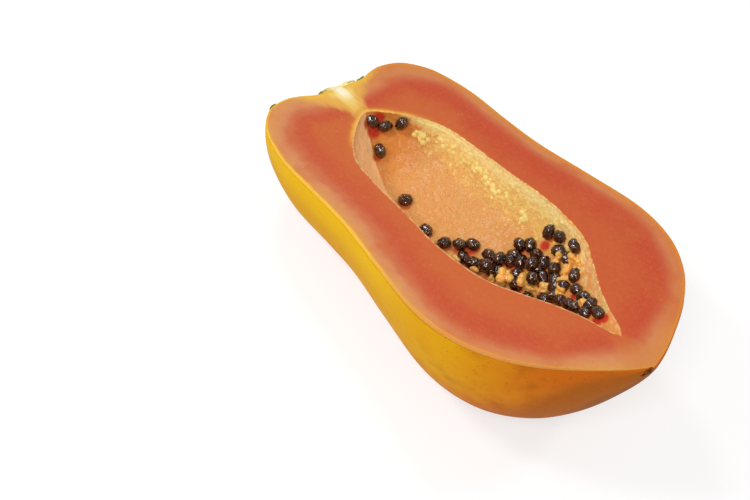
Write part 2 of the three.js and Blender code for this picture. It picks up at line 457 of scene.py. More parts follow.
seeds = {
    "strands": [  # from, to (x and lean), count, height above the wall
        ((26, 29), (33, 74), 3, 0), ((33.5, 8), (54.4, 5), 2, 0), ((72.7, -3), (84.5, -17), 2, 0),
        ((82.4, 2), (91.6, 20), 3, 0), ((93, 6), (108.8, 17), 5, 0), ((99.6, 22), (113.6, 35), 4, 0),
        ((107, 46), (108.3, 37), 2, 0), ((110.7, 51), (122, 48.5), 3, 0), ((114.2, 69), (120.3, 71), 2, 0),
        ((129.8, 77), (129.7, 63), 2, 0), ((123.9, 63), (123.9, 63), 1, 0), ((128.2, 49), (135.1, 36), 3, 0),
        ((121.7, 38), (126.6, 37), 2, 0), ((115.8, 25), (119.1, 19), 2, 0), ((138.3, 43), (139.9, 58), 2, 0),
        ((138.1, 28), (161.2, 27.5), 5, 0), ((146.9, 49), (166.7, 48), 4, 0), ((122, 7), (135, 23), 3, 0),
        ((95, -12), (118, 3), 5, 0), ((104, -30), (127, -8), 5, 0), ((133, -22), (152, 2), 4, 0),
        ((112, -46), (135, -38), 4, 0), ((142, -34), (158, -24), 3, 0), ((103.7, 14), (103.7, 14), 1, 4),
        ((120.1, 40), (126.1, 31), 2, 3.5),
    ],
    "shift": (0.4, 1),  # how far each moves off its strand, in mm and degrees
    "length": 6.6, "width": 5.2, "unevenness": 0.06,
    "sunk": 0.3,  # share of its width inside the wall
    "models": 6, "random": 40, "wrinkle": 0.26, "ridgeSize": 0.4, "ridgeStretch": 1.8,
    "dent": 0.13, "dentSize": 0.9,
    "dark": (18, 2, 0), "olive": (88, 54, 14), "brown": (66, 8, 0), "sheen": (1.0, 0.76, 0.55, 1.0),
}


def seedPlace(place, index):  # how a seed lies on the wall
    x, lean, height = place
    longHalf = seeds["length"] / 2 * (1 + seeds["unevenness"] * draw(index, drawKinds["seedLength"]))
    wideHalf = seeds["width"] / 2 * (1 + seeds["unevenness"] * draw(index, drawKinds["seedWidth"]))
    normal = inward(wallPoint, x, lean)
    centre = Vector(wallPoint(x, lean)) + normal * (wideHalf * (1 - 2 * seeds["sunk"]) + height)
    spin = Quaternion((0, 0, 1), math.pi * draw(index, drawKinds["seedTurn"]))
    turn = Vector((0, 0, 1)).rotation_difference(normal) @ spin
    return Matrix.LocRotScale(centre, turn, Vector((longHalf, wideHalf, wideHalf)))


seedPlaces = [seedPlace(place, index) for index, place in
              enumerate(placesOn(seeds["strands"], seeds["shift"], drawKinds["seedShift"]))]


def buildSeedModel(number):  # a ball of radius 1 with wrinkled ridges along it
    rng = np.random.default_rng(seeds["random"] + number)
    bpy.ops.object.select_all(action='DESELECT')
    bpy.ops.object.empty_add(location=rng.uniform(-20, 20, 3))  # so that no two models are alike
    guide = bpy.context.object
    guide.scale = (seeds["ridgeStretch"], 1, 1)
    bpy.ops.object.select_all(action='DESELECT')
    bpy.ops.mesh.primitive_ico_sphere_add(subdivisions=4, radius=1)
    model = newPiece(f"seed_model_{number}")
    ridges = bpy.data.textures.new(f"ridges {number}", 'VORONOI')
    ridges.noise_scale = seeds["ridgeSize"]
    guided = {"texture_coords": 'OBJECT', "texture_coords_object": guide}
    finishWith(model, 'DISPLACE', texture=ridges, strength=-seeds["wrinkle"], **guided)
    ruffle(model, seeds["dentSize"], seeds["dent"], **guided)
    bpy.data.objects.remove(guide)
    points = readPoints(model)
    points -= points.mean(0)
    reach = np.linalg.norm(points, axis=1)
    low, usual, high = np.percentile(reach, (2, 70, 98))
    writePoints(model, points / usual)
    storeNumbers(model, "ridge", (reach - low) / (high - low))
    return model


def buildSeeds():
    models = [buildSeedModel(number) for number in range(seeds["models"])]
    copies = []
    for index, lie in enumerate(seedPlaces):
        mesh = models[index % len(models)].data.copy()
        mesh.transform(lie)
        copy = linkNew(f"seed_{index}", mesh)
        tone = 0.5 + 0.5 * draw(index, drawKinds["tone"])
        storeNumbers(copy, "tone", np.full(len(mesh.vertices), tone))
        copies.append(copy)
    for model in models:
        bpy.data.objects.remove(model)
    return joined(copies, "papaya_seeds")


def seedMaterial():
    g = Graph("wet papaya seed")
    place = g.place()
    ridge, tone = g.number("ridge"), g.number("tone")
    fine, blotch = g.noise(place, 2.2, 3), g.noise(place, 0.5, 2)
    colour = g.layers(seeds["dark"],
                      (seeds["brown"], blotch.ramp(0.4, 0.65)),
                      (seeds["olive"], ridge.ramp(0.45, 1.0) * (0.2 + 0.8 * tone) * 0.8))
    return g.finish(colour, 0.05 + 0.1 * fine, fine, 0.0002, Coat_Weight=1.0, Coat_Roughness=0.02,
                    Coat_IOR=1.7, Specular_Tint=seeds["sheen"], Specular_IOR_Level=0.25, IOR=1.5)


pulp = {
    "strands": [  # from, to (x and lean), count, height above the wall, radius
        ((113, 18), (121.2, 25), 2, 1.2, 2.8), ((125.2, 24), (131.5, 31), 3, 0.6, 1.9),
        ((92.2, -1), (108.6, 12), 3, 0.7, 2.0), ((126.6, 62), (126.8, 55), 2, 1.3, 1.8),
        ((133.8, 56), (139.9, 37), 3, 0.7, 2.2), ((134.3, 68), (140, 63), 2, 0.2, 2.1),
        ((158.2, 42), (158.2, 42), 1, 1.4, 2.3),
    ],
    "shift": (0.4, 1), "unevenness": 0.25, "stretch": 1.25,
    "sunk": 0.45,  # share of its width inside the wall
    "random": 12, "blobs": 11, "blobSize": (0.38, 0.58), "spread": 0.62,
    "threads": 10, "threadRadius": (0.2, 0.35), "threadReach": (1.5, 3.0), "threadSteps": 6,
    # they start near one of the first lumps (mm and degrees away) and arch over the wall
    "threadLumps": 10, "threadStart": (3, 8), "threadFoot": 0.2, "threadArch": (0.6, 1.0),
    "degreesPerMm": 2.2,
    "voxel": 0.26, "foldSize": 1.1, "swell": 0.6,
    "colour": (246, 178, 84), "light": (253, 212, 130), "deep": (234, 144, 58),
}


def pulpPlace(place, index):
    x, lean, height, radius = place
    size = radius * (1 + pulp["unevenness"] * draw(index, drawKinds["lumpSize"]))
    middle = size * (1 - 2 * pulp["sunk"]) + height
    centre = Vector(wallPoint(x, lean)) + inward(wallPoint, x, lean) * middle
    turn = Quaternion((0, 0, 1), draw(index, drawKinds["lumpTurn"]))
    return Matrix.LocRotScale(centre, turn, Vector((size * pulp["stretch"], size, size)))


def buildBlob(rng, lie):
    bpy.ops.object.select_all(action='DESELECT')
    radius, spread = rng.uniform(*pulp["blobSize"]), pulp["spread"]
    centre = rng.uniform(-spread, spread, 3)
    bpy.ops.mesh.primitive_ico_sphere_add(subdivisions=3, radius=radius, location=centre)
    blob = newPiece("blob")
    bpy.ops.object.transform_apply(location=True, rotation=False, scale=False)
    blob.data.transform(lie)
    return blob


def buildThread(rng, places):
    start = places[rng.integers(pulp["threadLumps"])]
    alongShift, leanShift = pulp["threadStart"]
    x = start[0] + rng.uniform(-alongShift, alongShift)
    lean = start[1] + rng.uniform(-leanShift, leanShift)
    reach = rng.uniform(*pulp["threadReach"])
    turn = rng.uniform(0, 2 * math.pi)
    points = []
    for step in range(pulp["threadSteps"] + 1):
        share = step / pulp["threadSteps"]
        x1 = x + reach * share * math.cos(turn)
        lean1 = lean + pulp["degreesPerMm"] * reach * share * math.sin(turn)
        lift = pulp["threadFoot"] + math.sin(math.pi * share) * rng.uniform(*pulp["threadArch"])
        points.append(Vector(wallPoint(x1, lean1)) + inward(wallPoint, x1, lean1) * lift)
    curve = bpy.data.curves.new("thread", 'CURVE')
    curve.dimensions = '3D'
    curve.bevel_depth, curve.bevel_resolution = rng.uniform(*pulp["threadRadius"]), 2
    curve.use_fill_caps = True
    line = curve.splines.new('NURBS')
    line.points.add(len(points) - 1)
    for target, point in zip(line.points, points):
        target.co = (*point, 1)
    line.use_endpoint_u = True
    pick(linkNew("thread", curve))
    bpy.ops.object.convert(target='MESH')
    return bpy.context.object


def buildPulp():  # torn lumps, each of a few blobs, with threads between them
    rng = np.random.default_rng(pulp["random"])
    places = placesOn(pulp["strands"], pulp["shift"], drawKinds["lumpShift"])
    parts = []
    for index, place in enumerate(places):
        lie = pulpPlace(place, index)
        parts += [buildBlob(rng, lie) for blob in range(pulp["blobs"])]
    parts += [buildThread(rng, places) for thread in range(pulp["threads"])]
    piece = joined(parts, "pulp_lumps")
    finishWith(piece, 'REMESH', mode='VOXEL', voxel_size=pulp["voxel"])
    finishWith(piece, 'SMOOTH', factor=0.5, iterations=2)
    ruffle(piece, pulp["foldSize"], pulp["swell"], detail=3)
    return piece


def pulpMaterial():
    g = Graph("wet papaya pulp")
    place = g.place()
    fine, blotch = g.noise(place, 1.4, 3), g.noise(place, 0.35, 2)
    colour = g.layers(pulp["colour"],
                      (pulp["light"], fine.ramp(0.45, 0.7) * 0.6),
                      (pulp["deep"], blotch.ramp(0.5, 0.75) * 0.7))
    return g.finish(colour, 0.3 + 0.2 * fine, fine, 0.0004, Subsurface_Weight=0.35, Subsurface_Scale=0.003,
                    Subsurface_Radius=(1.0, 0.5, 0.15), Coat_Weight=0.35, Coat_Roughness=0.12, IOR=1.4)


wallBumps = {
    "strands": [  # from, to (x and lean), count
        ((38.4, 65), (53.5, 71), 4), ((70.1, 69), (87.7, 65), 4), ((99.5, 64), (115.9, 79), 2),
        ((46, -62), (104, -66), 9),
    ],
    "shift": (1.2, 3), "radius": 2.0, "unevenness": 0.25, "random": 7,
    "parts": 5, "partShift": (2.0, 5), "partSize": (0.3, 0.6), "partHeight": (0.6, 1.5),
    "blunt": 1.6,  # how wide their tops are
    "calm": (0.2, 2.5),  # the wall's relief fades in between these depths
    "calmShare": 0.3,  # share of their height that the bumps keep above them
    # small tags of pulp under both rims
    "tags": 1500, "tagSize": (0.35, 0.85), "tagHeight": (0.12, 0.6), "tagAlong": (38, 146),
    "tagTop": 86, "tagLow": 40, "tagSpread": 13, "farShare": 0.75,
}
flesh = {
    "rings": 360, "rindSides": 40, "wallSides": 300, "faceRows": 44,
    "skinGap": 0.3,  # how far under the skin it ends
    "rimRound": 0.45,
    "folds": (7.0, 0.8), "grain": (1.7, 0.45, 3),  # size, height and detail of the wall's own relief
    "zone": 16.0,  # how deep the colours under the skin reach
    # the cut face, from the skin inwards
    "face": [(0.08, (213, 148, 80)), (0.30, (209, 137, 89)), (0.47, (201, 110, 68)), (0.75, (196, 83, 49)),
             (1.0, (195, 76, 40))],
    "edge": (238, 186, 24), "tipEdge": (216, 150, 44), "farEdge": (218, 138, 26), "warm": (200, 96, 42),
    "farDeep": (194, 64, 34), "farPale": (208, 120, 54), "core": (206, 128, 62), "dusk": (203, 108, 58),
    # the last colour paints small glints of moisture on the cut face
    "fibre": (206, 118, 66), "paintedGlintColour": (236, 178, 140),
    # the tissue between the stem and the cavity, and the cavity's rim
    "ochre": (228, 174, 74), "streak": (243, 218, 136), "flank": (236, 184, 62), "heart": (255, 247, 222),
    "rimGlow": (207, 128, 46), "rimYellow": (240, 180, 66), "rimNear": (232, 184, 124),
    # the last one is the colour of a painted glow, not of the flesh
    "rimFar": (232, 192, 104), "paintedGlowColour": (1.0, 0.75, 0.4, 1.0),
    # the cavity wall, with painted shade on its low floor and between the tags, and painted light partly
    # lifting the sector, the near wall and the far rim
    "floor": (223, 163, 94), "floorFar": (217, 147, 73), "stemFloor": (222, 134, 52),
    "lowFloorShade": (212, 148, 80), "sector": (255, 197, 138), "nearWall": (252, 180, 112),
    "band": (247, 212, 118), "bandFar": (252, 178, 112), "farRimPaintedLight": (255, 242, 166),
    "wallSpeck": (214, 132, 60), "wallLight": (252, 220, 138), "patch": (255, 236, 160),
    "tagHollowShade": (230, 152, 58), "tag": (255, 232, 142),
    # red stains, round the seeds and (x, lean, size, strength) where seeds have been
    "stain": (196, 40, 14), "stainSoft": (206, 92, 34), "stainSize": (2.2, 3.9),
    "stainShift": (1.2, -1.3, -0.5), "stainStrength": (0.6, 0.4),  # usual, and how far it varies
    "stainCore": 0.3,  # share of its size in which each below is full
    "extraStains": [
        (116, 58, 3.4, 1.0), (170.5, 48, 3.2, 1.0), (168.5, 29, 4.4, 1.0), (91.7, 13, 3.5, 0.6),
        (86, 6, 3.2, 0.5), (28.5, 14, 4.4, 0.9), (27, 60, 4.4, 0.9), (34.5, 80, 3.0, 0.4), (35, 0, 3.2, 0.7),
    ],
}


def buildFlesh():
    outer = halfBall("papaya_flesh", flesh["rindSides"], flesh["rings"])
    shapeBall(outer, fruitPoint, insetProfile(fruitProfile, flesh["skinGap"]))
    wall = halfBall("cavity_wall", flesh["wallSides"], flesh["rings"])
    shapeBall(wall, cavityPoint, cavityProfile)
    pick(wall)
    editing(True)
    bpy.ops.mesh.select_all(action='SELECT')
    bpy.ops.mesh.flip_normals()  # both shells face the same way when they are bridged
    editing(False)
    piece = joined([outer, wall], "papaya_flesh")
    closeRims(bpy.ops.mesh.bridge_edge_loops, number_cuts=flesh["faceRows"], interpolation='LINEAR')
    roundEdges(piece, angle=40, width=flesh["rimRound"])
    storeFleshNumbers(piece, roughenWall(piece))
    return piece


def isOnWall(points, slack=1, belowFace=0.05):  # which points of the flesh are on the wall
    x, y, z = points.T
    inner = np.interp(x, cavityProfile[:, 0], cavityProfile[:, 1], 0, 0)
    outer = np.interp(x, sideProfile[:, 0], sideProfile[:, 1])
    reach = np.hypot(y - axisOffset(x), z / fruit["bellyDepth"])
    within = (x > cavityProfile[0, 0] - slack) & (x < cavityProfile[-1, 0] + slack)
    return (reach < (inner + outer) / 2) & within & (z < -belowFace)


def bumpPlaces():  # centre, radius and height of each bump on the wall
    rng = np.random.default_rng(wallBumps["random"])
    alongShift, leanShift = wallBumps["partShift"]
    places = placesOn(wallBumps["strands"], wallBumps["shift"], drawKinds["bumpShift"])
    bumps = []
    for index, (x, lean) in enumerate(places):
        size = wallBumps["radius"] * (1 + wallBumps["unevenness"] * draw(index, drawKinds["lumpSize"]))
        for part in range(wallBumps["parts"]):
            x1 = x + rng.uniform(-alongShift, alongShift)
            spot = wallPoint(x1, lean + rng.uniform(-leanShift, leanShift))
            radius = size * rng.uniform(*wallBumps["partSize"])
            bumps.append((spot, radius, rng.uniform(*wallBumps["partHeight"])))
    for tag in range(wallBumps["tags"]):
        side = 1 if rng.random() < wallBumps["farShare"] else -1
        below = abs(rng.normal(0, wallBumps["tagSpread"]))
        lean = side * max(wallBumps["tagTop"] - below, wallBumps["tagLow"])
        spot = wallPoint(rng.uniform(*wallBumps["tagAlong"]), lean)
        radius = rng.uniform(*wallBumps["tagSize"])
        bumps.append((spot, radius, rng.uniform(*wallBumps["tagHeight"])))
    return bumps


def roughenWall(piece):  # raises bumps and folds, returns the bumps' height
    points, normals = readPoints(piece), readPoints(piece, "normal")
    onWall = isOnWall(points)
    fade = onWall * ease(*wallBumps["calm"], -points[:, 2])  # calm at the rim
    lift = np.zeros(len(points))
    for centre, radius, height in bumpPlaces():
        away = ((points - centre) ** 2).sum(1) / radius ** 2
        lift = np.maximum(lift, height * np.exp(-away ** 2 / wallBumps["blunt"]))
    tags = lift * onWall
    share = np.maximum(fade, wallBumps["calmShare"] * onWall)
    writePoints(piece, points + normals * (tags * share)[:, None])
    group = piece.vertex_groups.new(name="wall")
    levels = 10
    for level in range(1, levels + 1):
        chosen = np.nonzero(np.round(fade * levels) == level)[0]
        group.add(chosen.tolist(), level / levels, 'REPLACE')
    ruffle(piece, *flesh["folds"], vertex_group="wall")
    ruffle(piece, *flesh["grain"], vertex_group="wall")
    return tags


def storeFleshNumbers(piece, tags):  # what the material needs to know of each point
    points = readPoints(piece)
    x, y, z = points.T
    onWall = isOnWall(points)
    rindGap = np.full(len(points), 30.0)  # the wall counts as far inside
    rindGap[~onWall] = nearest(points[~onWall], rimLines(fruitPoint, fruitProfile))
    rimGap = z.copy()
    rimGap[~onWall] = nearest(points[~onWall], rimLines(cavityPoint, cavityProfile))
    around = np.degrees(np.arctan2(-z, y - axisOffset(x)))
    stain = np.zeros(len(points))
    usual, varied = flesh["stainStrength"]
    for index, lie in enumerate(seedPlaces):
        centre = np.array(lie.translation) + np.array(flesh["stainShift"])
        away = np.linalg.norm(points - centre, axis=1)
        strength = usual + varied * draw(index, drawKinds["stain"])
        stain = np.maximum(stain, strength * (1 - ease(*flesh["stainSize"], away)))
    for along, lean, size, strength in flesh["extraStains"]:
        away = np.linalg.norm(points - wallPoint(along, lean), axis=1)
        stain = np.maximum(stain, strength * (1 - ease(size * flesh["stainCore"], size, away)))
    storeNumbers(piece, "rindGap", rindGap)
    storeNumbers(piece, "rimGap", rimGap)
    storeNumbers(piece, "lean", 90 - around)
    storeNumbers(piece, "stain", stain * onWall)
    storeNumbers(piece, "tags", tags)


def fleshMaterial():
    g = Graph("cut papaya flesh")
    place = g.place()
    along = g.axes(place)
    side = along.out("Y")
    rindGap, rimGap, lean = g.number("rindGap"), g.number("rimGap"), g.number("lean")
    stain, tags = g.number("stain"), g.number("tags")
    broad, medium, fine = g.noise(place, 0.05, 3), g.noise(place, 0.22, 3), g.noise(place, 1.5, 2)
    fibres = g.noise(g.stretch(place, (0.16, 1.1, 1.0)), 0.9, 3)
    waver, sweep = medium - 0.5, broad - 0.5
    far = side.ramp(-18, 18)

    # the cut face: zones under the skin, narrower on the far side, and a pale core near the blossom end
    width = 1.05 + 0.4 * along.fall(2, 24) - 0.33 * along.ramp(95, 135) + 0.55 * along.ramp(174, 196)
    width = width * flesh["zone"] * (1 - 0.36 * far * along.ramp(12, 28) * along.fall(95, 135))
    depth = rindGap / width
    face = g.add("ShaderNodeValToRGB", {"stops": [(share, paint(colour)) for share, colour in flesh["face"]]},
                 {0: depth + sweep * 0.45 + waver * 0.22 + (fibres - 0.5) * 0.1})
    dusk = along.ramp(118, 160) * along.fall(180, 194) * depth.fall(0.2, 0.7)
    inner = (rindGap + waver * 8 + sweep * 12).ramp(13, 25)
    inner = inner * (1 - 0.4 * far * along.ramp(55, 80)) * (1 - 0.4 * along.ramp(150, 185))
    core = stripe((side + 1.5 + waver * 9) / (3 + 5 * along.ramp(182, 200)), 3.0) * along.ramp(176, 194)
    mottle = g.noise(place, 0.5, 3)
    grain = fibres.ramp(0.5, 0.85) * 0.14 + fine.ramp(0.42, 0.75) * 0.26 + mottle.ramp(0.45, 0.7) * 0.16
    edge = g.layers(flesh["edge"], (flesh["tipEdge"], along.ramp(80, 130)), (flesh["farEdge"], far))
    thin = (rindGap + waver * 1.2 - 0.7 * far).fall(0.4, 1.5)
    face = g.layers(face,
                    (flesh["farDeep"], far * depth.ramp(0.5, 1.0) * 0.45),
                    (flesh["farPale"], far * depth.fall(0.2, 0.6) * 0.55),
                    (flesh["dusk"], dusk * 0.4),
                    (flesh["warm"], inner * 0.95),
                    (flesh["core"], core * 0.55),
                    (flesh["warm"], broad.ramp(0.5, 0.75) * 0.5),
                    (flesh["fibre"], grain),
                    (edge, thin * (0.85 - 0.35 * along.ramp(130, 165))))

    # the yellow tissue between the stem and the cavity, and the cavity's rim
    strand = g.noise(g.stretch(place, (0.14, 1.0, 1.0)), 0.55, 3) - 0.5
    glow = stripe((side + 2.8 + strand * 6) / (4.2 + 10 * along.fall(4, 22)), 2.0) * along.fall(22, 30)
    light = stripe((side + 1.6 + strand * 5) / (2.5 + 3 * along.fall(5, 16)), 2.0) * along.fall(6, 26)
    flank = (rindGap + waver * 3).fall(1.0, 5) * (side * side).fall(120, 640) * along.fall(7, 14)
    heart = stripe((side + 1.2 + strand * 5) / 2.6, 1.6) * along.fall(7, 15)
    warmRim = (rimGap + waver * 3).fall(0, 5) * along.fall(26, 52)
    yellowRim = (rimGap + waver * 1.5).fall(0.6, 2.6) * along.fall(30, 44)
    line = (rimGap + waver).fall(0.2, 0.8) * (0.3 + 0.7 * g.noise(place, 0.5, 2).ramp(0.4, 0.55))
    face = g.layers(face,
                    (flesh["ochre"], glow),
                    (flesh["streak"], light),
                    (flesh["flank"], flank * 0.85),
                    (flesh["heart"], heart * 0.8),
                    (flesh["rimGlow"], warmRim * 0.7),
                    (flesh["rimYellow"], yellowRim * 0.8),
                    (g.blend(flesh["rimNear"], flesh["rimFar"], far), line * along.fall(181, 184)))

    # the cavity wall: a smooth paler sector on the near side of the stem end, partly its own pale colour and
    # partly painted light, and a light band under the far rim, lifted at the rim by painted light
    sector = (lean + waver * 2).fall(-6, -3) * along.fall(44, 70)
    band = (lean + waver * 34).ramp(42, 82) * along.ramp(38, 50)
    # paler towards the far rim: the band's own colour, lifted further there as painted light
    farRimPaintedLight = (lean + waver * 16).ramp(72, 86) * along.ramp(30, 38) * (1 - 0.8 * along.ramp(108, 130))
    light = g.noise(g.stretch(place, (1.0, 0.6, 0.6)), 0.9, 3).ramp(0.5, 0.7)
    light = light * (0.15 + 0.55 * band * (1 - 0.7 * along.ramp(112, 128))) * (1 - 0.95 * sector)
    patches = g.noise(place, 0.3, 2).ramp(0.52, 0.6) * along.ramp(116, 128) * lean.ramp(50, 66)
    # orange in the hollows between the raised tags of the band: painted shade
    tagHollowShade = tags.fall(0.02, 0.3) * band * along.ramp(40, 55) * fine.ramp(0.35, 0.6)
    bled = stain + waver * 0.7 * stain.ramp(0, 0.2)
    wall = g.layers(flesh["floor"],
                    (flesh["floorFar"], along.ramp(82, 118)),
                    (flesh["stemFloor"], (along + waver * 12).fall(34, 50) * 0.9),
                    # darker on the low floor by the near rim: painted shade of the near rim
                    (flesh["lowFloorShade"], lean.fall(0, 30) * lean.ramp(-3, 4) * along.ramp(44, 56) * 0.8),
                    (flesh["sector"], sector),
                    # the near wall: its own pale orange, lifted as painted light over its shade
                    (flesh["nearWall"], lean.fall(-22, -8) * along.ramp(60, 90)),
                    (g.blend(flesh["band"], flesh["bandFar"], along.ramp(108, 140)), band),
                    (flesh["farRimPaintedLight"], farRimPaintedLight),
                    (flesh["wallSpeck"], fine.ramp(0.46, 0.72) * (0.5 - 0.35 * band) * (1 - 0.95 * sector)),
                    (flesh["wallLight"], light),
                    (flesh["patch"], patches * 0.6),
                    (flesh["tagHollowShade"], tagHollowShade * 0.45),
                    (flesh["tag"], tags.ramp(0.15, 0.7) * (0.85 - 0.55 * along.ramp(112, 132))),
                    (flesh["stainSoft"], bled.ramp(0.05, 0.5) * 0.7),
                    (flesh["stain"], bled.ramp(0.4, 0.9) * 0.9))

    inCavity = (rimGap - 0.7 * g.noise(place, 0.45, 3).ramp(0.45, 0.7)).fall(-0.35, 0.1)
    # pale specks on the cut face: painted glints of moisture
    paintedGlints = (g.cells(place, 0.3) + (fine - 0.5) * 0.3).fall(0.05, 0.16)
    paintedGlints = paintedGlints * broad.ramp(0.54, 0.64) * (1 - inCavity)
    colour = g.layers(face, (wall, inCavity), (flesh["paintedGlintColour"], paintedGlints * 0.3))
    # painted light: a faint glow on the wall under the far rim, standing in for light that the thin wet rim
    # lets through
    paintedGlowMask = lean.ramp(60, 84) * along.ramp(40, 54) * along.fall(165, 180) * inCavity
    paintedGlowColour = g.blend((0, 0, 0), flesh["paintedGlowColour"], paintedGlowMask)  # light that the thin wet rim lets through
    roughness = 0.38 + 0.16 * medium + 0.2 * inCavity
    height = fibres * 0.1 * (1 - inCavity) + fine * (0.15 + 0.6 * inCavity * (1 - 0.7 * sector))
    height = height + medium * 0.3
    return g.finish(colour, roughness, height, 0.0006, Subsurface_Weight=0.25, Subsurface_Scale=0.004,
                    Subsurface_Radius=(1.0, 0.35, 0.12), Coat_Weight=0.1, Coat_Roughness=0.18, IOR=1.36,
                    Emission_Color=paintedGlowColour, Emission_Strength=0.1)


rind = {
    "sides": 160, "rings": 220, "thickness": 0.85, "edgeRound": 0.15,
    "scarHole": 7.6,  # radius of the hole for the stem scar
    "golden": (213, 154, 4), "orange": (200, 100, 14), "amber": (196, 100, 8), "brown": (170, 92, 16),
    "edge": (255, 230, 18), "bright": (228, 180, 12), "edgeDull": (206, 104, 20), "umber": (146, 80, 8),
    "green": (140, 150, 36), "freckle": (118, 74, 14),
}


def buildRind():
    piece = halfBall("papaya_rind", rind["sides"], rind["rings"])
    shapeBall(piece, fruitPoint, fruitProfile)
    x, y, z = readPoints(piece).T
    atStem = x < 20
    piece.data.vertices.foreach_set("select", (np.hypot(y, z) < rind["scarHole"]) & atStem)
    editing(True)
    bpy.ops.mesh.select_mode(type='VERT')
    bpy.ops.mesh.delete(type='VERT')  # no skin under the stem scar
    faceOutwards()
    editing(False)
    finishWith(piece, 'SOLIDIFY', thickness=rind["thickness"], offset=-1, use_rim=True)
    roundEdges(piece, angle=50, width=rind["edgeRound"])
    sinkBelowFace(piece)
    x, y, z = readPoints(piece).T
    storeNumbers(piece, "under", np.degrees(np.arctan2(-z, np.abs(y - axisOffset(x)))))
    return piece


def rindMaterial():  # under is the angle round the fruit's axis, 0 at the cut face
    g = Graph("ripe papaya skin")
    place = g.place()
    along = g.axes(place)
    level, under = along.out("Z"), g.number("under")
    broad, medium, fine = g.noise(place, 0.03, 3), g.noise(place, 0.16, 4), g.noise(place, 0.9, 3)
    patches = (broad - 0.5) * 0.5 + (medium - 0.5) * 0.25
    streaks = g.noise(g.stretch(place, (0.25, 1.0, 1.0)), 0.35, 3)
    blush = g.noise(g.stretch(place, (0.6, 1.0, 1.0)), 0.07, 3)
    spots = g.cells(g.stretch(place, (0.6, 1.0, 1.0)), 0.55) + (fine - 0.5) * 0.25
    freckles = spots.fall(0.1, 0.24) * medium.ramp(0.38, 0.55)
    # under, with the patches, darkens the skin towards the underside through amber, brown and umber: partly
    # the skin's own riper colours, partly painted shade on the underside
    patchy = under + patches * 42
    riperAndShadedUnderside = (patchy + 40 * along.ramp(146, 206)).ramp(44, 64)
    edge = g.blend(rind["edge"], rind["edgeDull"], along.ramp(110, 180))
    colour = g.layers(rind["golden"],
                      (rind["orange"], (along + patches * 40).ramp(142, 194)),
                      (rind["bright"], under.fall(4, 22) * along.fall(95, 140) * 0.8),
                      (rind["amber"], patchy.ramp(26, 52)),
                      (rind["brown"], riperAndShadedUnderside * along.ramp(90, 150)),
                      (rind["umber"], patchy.ramp(54, 74) * along.ramp(110, 160) * 0.9),
                      (rind["amber"], streaks.ramp(0.5, 0.85) * (0.15 + 0.3 * along.ramp(120, 190))),
                      (rind["brown"], blush.ramp(0.52, 0.7) * along.ramp(110, 170) * 0.6),
                      (rind["freckle"], freckles * (0.12 + 0.42 * along.ramp(110, 180))),
                      (rind["green"], along.fall(1, 8) * 0.5 * medium.ramp(0.35, 0.6)),
                      (edge, level.ramp(-1.2, -0.25)))
    return g.finish(colour, 0.5 + 0.2 * medium, fine * 0.5 + medium * 0.5, 0.0003,
                    Subsurface_Weight=0.05, Subsurface_Scale=0.002, Subsurface_Radius=(1.0, 0.5, 0.1),
                    Specular_IOR_Level=0.07, IOR=1.4)


stemScar = {
    "sides": 56, "rings": 64,
    "profile": [(3.1, 0), (3.0, 1.6), (2.5, 3.0), (2.2, 4.6), (2.3, 6.0), (3.3, 8.5), (5.5, 8.6), (8.2, 8.0),
                (8.6, 0)],
    "foldSize": 1.6, "foldHeight": 0.7, "foldsBelow": -0.6,  # no folds near the cut face
    "cream": (249, 230, 164), "ochre": (226, 176, 84), "dry": (186, 158, 80),
}


def buildStemScar():
    piece = halfBall("stem_scar", stemScar["sides"], stemScar["rings"])
    shapeBall(piece, fruitPoint, smoothProfile(stemScar["profile"], stemScar["rings"]))
    closeRims(bpy.ops.mesh.edge_face_add)  # just under the cut face
    points = sinkBelowFace(piece)
    group = piece.vertex_groups.new(name="outside")
    group.add(np.nonzero(points[:, 2] < stemScar["foldsBelow"])[0].tolist(), 1.0, 'REPLACE')
    ruffle(piece, stemScar["foldSize"], stemScar["foldHeight"], mid_level=0.6, vertex_group="outside")
    return piece


def stemScarMaterial():
    g = Graph("dry stem scar")
    place = g.place()
    along = g.axes(place)
    side, level = along.out("Y"), along.out("Z")
    strands, fine = g.noise(g.stretch(place, (0.14, 1.0, 1.0)), 0.55, 3), g.noise(place, 1.2, 3)
    off = (side - 1.2 + (strands - 0.5) * 6) / 11
    colour = g.blend(stemScar["cream"], stemScar["ochre"], (off * off).ramp(0.05, 0.6))
    colour = g.blend(stemScar["dry"], colour, level.ramp(-4.0, -1.5))
    colour = g.blend(colour, stemScar["dry"], fine.ramp(0.55, 0.8) * 0.3)
    return g.finish(colour, 0.5 + 0.2 * fine, fine, 0.0004, Specular_IOR_Level=0.3)


blossomScar = {
    "place": (201.8, -50), "turn": 15, "half": (3.0, 1.0, 1.0),  # x and lean, degrees, half sizes
    "waves": (0.22, 5, 0.7),  # height, how many and shift, along its sides
    "crease": 0.3, "creaseWidth": 0.1, "foldSize": 1.1, "foldHeight": 0.5,
    "dark": (66, 26, 10), "darkEdge": (156, 84, 26),
}


